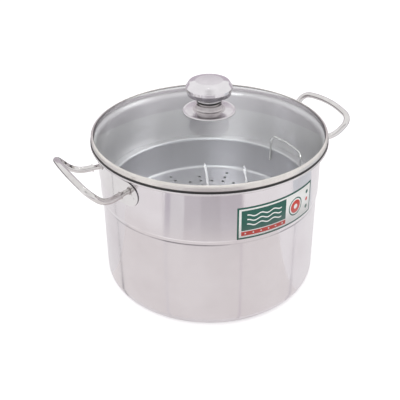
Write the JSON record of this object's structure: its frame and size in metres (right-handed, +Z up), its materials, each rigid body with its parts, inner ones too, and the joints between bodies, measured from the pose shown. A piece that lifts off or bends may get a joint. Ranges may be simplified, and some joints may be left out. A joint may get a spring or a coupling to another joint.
{
  "type": "steamer pot",
  "caption": "Deep stainless steamer pot with a perforated tray on an inner ledge, a domed glass lid with a steel band and knob, and looped rod handles.",
  "frame": {"origin": "centre of the pot's base, on the surface it stands on", "axes": "+Z up along the pot's axis; the two rod handles lie on +X and -X"},
  "size_m": [0.3932, 0.2988, 0.274],
  "materials": {
    "pot_steel": "satin stainless sheet, softly mirrored",
    "plate_steel": "satin pressed stainless plate",
    "rod_steel": "polished stainless rod",
    "tray_steel": "satin stainless sheet",
    "wire_steel": "polished stainless wire",
    "lid_glass": "clear tempered glass",
    "band_steel": "satin stainless band",
    "black_silicone": "black silicone rubber",
    "knob_flange_steel": "bright stainless disc",
    "knob_steel": "turned stainless",
    "knob_dark": "black heat-proof plastic",
    "knob_cap_steel": "bright spun stainless",
    "brass_insert": "brass threaded insert",
    "clear_silicone": "translucent silicone washer",
    "screw_steel": "stainless screw and washer"
  },
  "bodies": {
    "pot": {"pot_shell": "pot_steel", "handle_plate_right": "plate_steel", "handle_plate_left": "plate_steel", "handle_sockets_right": "rod_steel", "handle_sockets_left": "rod_steel", "handle_rod_right": "rod_steel", "handle_rod_left": "rod_steel"},
    "tray": {"tray_pan": "tray_steel", "tray_handle_right": "wire_steel", "tray_handle_left": "wire_steel"},
    "lid": {"lid_glass": "lid_glass", "lid_band": "band_steel", "lid_seal": "black_silicone", "knob_flange": "knob_flange_steel", "knob_neck": "knob_steel", "knob_ring": "knob_dark", "knob_pan": "knob_steel", "knob_cap": "knob_cap_steel", "knob_insert": "brass_insert", "knob_gasket_top": "clear_silicone", "knob_gasket_bottom": "clear_silicone", "knob_washer": "screw_steel", "knob_screw": "screw_steel"}
  },
  "joints": [
    {"name": "tray_lift", "type": "slide", "parent": "pot", "child": "tray", "axis": [0, 0, 1], "range_m": [0, 0.14]},
    {"name": "lid_lift", "type": "slide", "parent": "tray", "child": "lid", "axis": [0, 0, 1], "range_m": [0, 0.12]}
  ]
}
